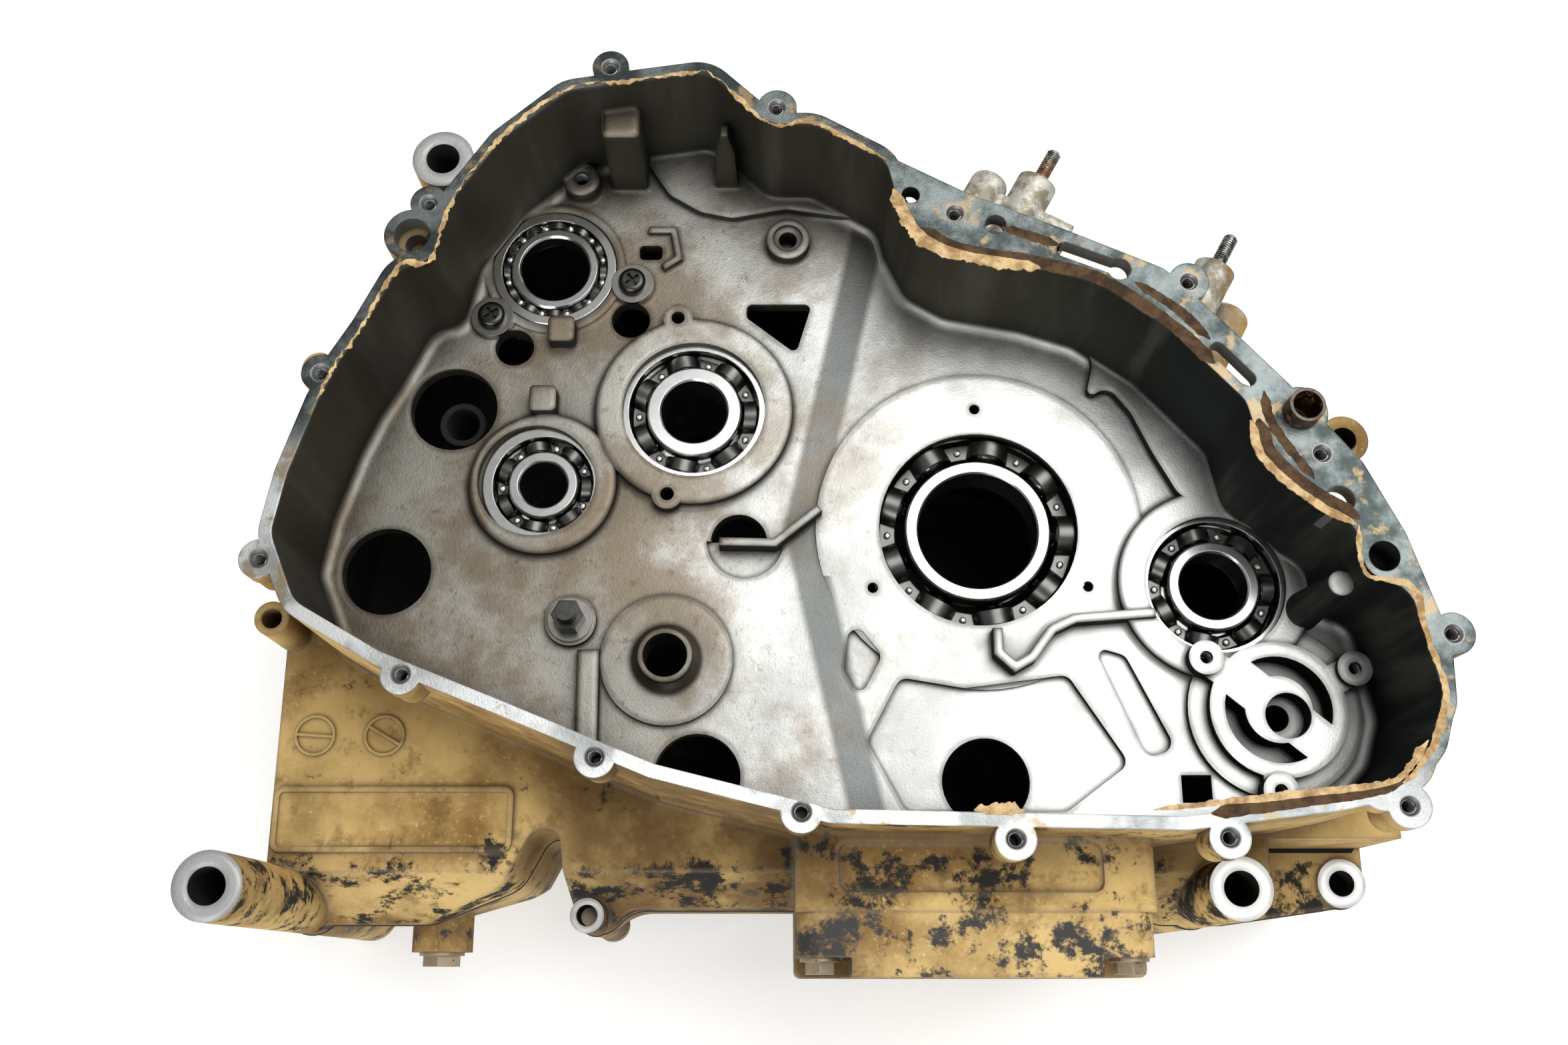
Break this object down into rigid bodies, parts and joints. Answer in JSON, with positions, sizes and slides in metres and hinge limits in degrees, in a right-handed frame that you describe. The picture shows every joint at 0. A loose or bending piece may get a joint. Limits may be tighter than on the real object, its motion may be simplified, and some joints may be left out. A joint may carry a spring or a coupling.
{
  "type": "engine crankcase",
  "caption": "Cast engine crankcase of two bolted halves with a cover chamber, turning shaft bearings, mounting tubes and a sump cover.",
  "frame": {"origin": "middle of the crank bearing's bore", "axes": "+Z along the crank axis towards the cover flange, +Y up the case towards the cylinder side, +X towards the front (balancer) end"},
  "size_m": [0.4725, 0.3733, 0.2365],
  "materials": {
    "cast_aluminium": "as cast, stained, painted outside",
    "steel": "oiled steel",
    "bearing_steel": "ground steel",
    "zinc_steel": "zinc plated, rusting",
    "rusty_steel": "rusted",
    "sealant": "dull",
    "gasket": "torn fibre"
  },
  "bodies": {
    "case": {"upper_case": "cast_aluminium", "lower_case": "cast_aluminium", "case_sealant": "sealant", "sump_cover": "cast_aluminium", "sump_cover_bolts": "zinc_steel", "drain_plug": "steel", "case_bolts": "zinc_steel", "retaining_screws": "steel", "retaining_washers": "steel", "pivot_washer": "steel", "pivot_pin": "steel", "cover_dowel": "rusty_steel", "side_studs": "zinc_steel", "gasket_remains": "gasket", "crank_outer_ring": "bearing_steel", "gearbox_input_outer_ring": "bearing_steel", "gearbox_output_outer_ring": "bearing_steel", "reverse_shaft_outer_ring": "bearing_steel", "balancer_outer_ring": "bearing_steel"},
    "crank_ring": {"crank_inner_ring": "bearing_steel"},
    "crank_ball_train": {"crank_cage": "bearing_steel", "crank_balls": "bearing_steel"},
    "gearbox_input_ring": {"gearbox_input_inner_ring": "bearing_steel"},
    "gearbox_input_ball_train": {"gearbox_input_cage": "bearing_steel", "gearbox_input_balls": "bearing_steel"},
    "gearbox_output_ring": {"gearbox_output_inner_ring": "bearing_steel"},
    "gearbox_output_ball_train": {"gearbox_output_cage": "bearing_steel", "gearbox_output_balls": "bearing_steel"},
    "reverse_shaft_ring": {"reverse_shaft_inner_ring": "bearing_steel"},
    "reverse_shaft_ball_train": {"reverse_shaft_cage": "bearing_steel", "reverse_shaft_balls": "bearing_steel"},
    "balancer_ring": {"balancer_inner_ring": "bearing_steel"},
    "balancer_ball_train": {"balancer_cage": "bearing_steel", "balancer_balls": "bearing_steel"}
  },
  "joints": [
    {"name": "crank_turn", "type": "hinge", "parent": "case", "child": "crank_ring", "pos_m": [0, 0, 0], "axis": [0, 0, 1], "continuous": true},
    {"name": "crank_cage_turn", "type": "hinge", "parent": "case", "child": "crank_ball_train", "pos_m": [0, 0, 0], "axis": [0, 0, 1], "continuous": true},
    {"name": "gearbox_input_turn", "type": "hinge", "parent": "case", "child": "gearbox_input_ring", "pos_m": [-0.1195, 0.0515, 0.0055], "axis": [0, 0, 1], "continuous": true},
    {"name": "gearbox_input_cage_turn", "type": "hinge", "parent": "case", "child": "gearbox_input_ball_train", "pos_m": [-0.1195, 0.0515, 0.0055], "axis": [0, 0, 1], "continuous": true},
    {"name": "gearbox_output_turn", "type": "hinge", "parent": "case", "child": "gearbox_output_ring", "pos_m": [-0.182, 0.1195, 0.008], "axis": [0, 0, 1], "continuous": true},
    {"name": "gearbox_output_cage_turn", "type": "hinge", "parent": "case", "child": "gearbox_output_ball_train", "pos_m": [-0.182, 0.1195, 0.008], "axis": [0, 0, 1], "continuous": true},
    {"name": "reverse_shaft_turn", "type": "hinge", "parent": "case", "child": "reverse_shaft_ring", "pos_m": [-0.1825, 0.019, 0.006], "axis": [0, 0, 1], "continuous": true},
    {"name": "reverse_shaft_cage_turn", "type": "hinge", "parent": "case", "child": "reverse_shaft_ball_train", "pos_m": [-0.1825, 0.019, 0.006], "axis": [0, 0, 1], "continuous": true},
    {"name": "balancer_turn", "type": "hinge", "parent": "case", "child": "balancer_ring", "pos_m": [0.096, -0.025, 0.005], "axis": [0, 0, 1], "continuous": true},
    {"name": "balancer_cage_turn", "type": "hinge", "parent": "case", "child": "balancer_ball_train", "pos_m": [0.096, -0.025, 0.005], "axis": [0, 0, 1], "continuous": true}
  ],
  "couplings": [
    {"joint": "crank_cage_turn", "follows": "crank_turn", "ratio": 0.4},
    {"joint": "gearbox_input_cage_turn", "follows": "gearbox_input_turn", "ratio": 0.3719},
    {"joint": "gearbox_output_cage_turn", "follows": "gearbox_output_turn", "ratio": 0.4253},
    {"joint": "reverse_shaft_cage_turn", "follows": "reverse_shaft_turn", "ratio": 0.3681},
    {"joint": "balancer_cage_turn", "follows": "balancer_turn", "ratio": 0.375}
  ]
}
